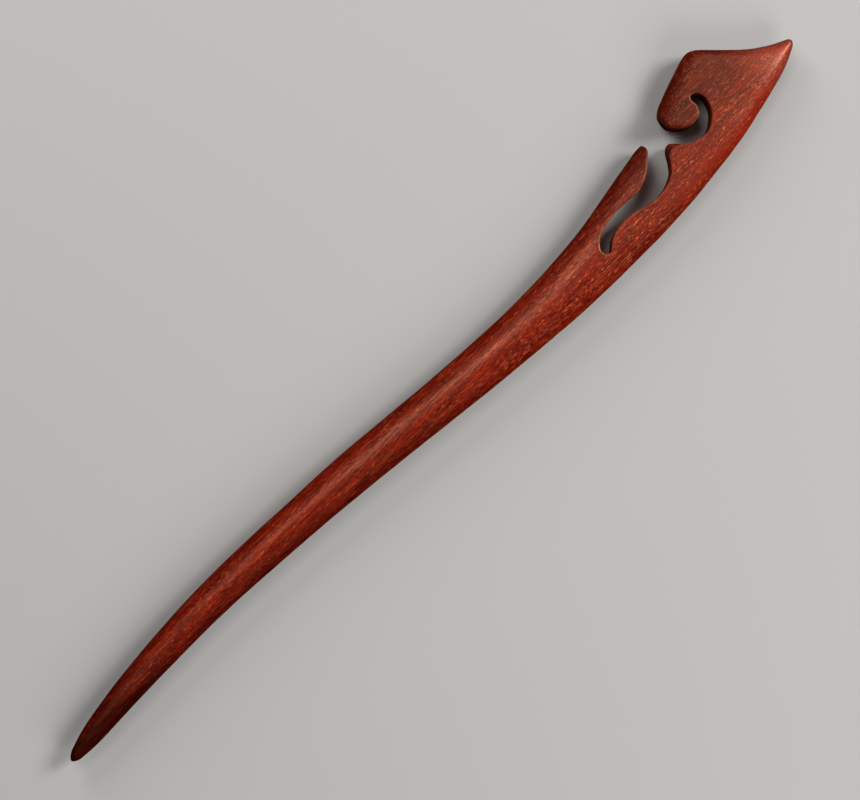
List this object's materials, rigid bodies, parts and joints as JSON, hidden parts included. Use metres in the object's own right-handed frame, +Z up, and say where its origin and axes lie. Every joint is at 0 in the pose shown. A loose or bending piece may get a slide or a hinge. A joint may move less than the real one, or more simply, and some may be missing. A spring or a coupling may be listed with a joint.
{
  "type": "hair stick",
  "caption": "Carved wooden hair stick: a tapered shaft with a gentle double bend and an openwork head with a finger, a lobe, a scroll and a point.",
  "frame": {"origin": "on the surface the stick lies on, under the middle of its length and width", "axes": "+X along the stick from the tip to the head's point, +Y across it towards the scroll, +Z up out of the head's flat face"},
  "size_m": [0.18, 0.0198, 0.007],
  "materials": {
    "wood": "satin"
  },
  "bodies": {
    "root": {"hair_stick": "wood"}
  },
  "joints": []
}
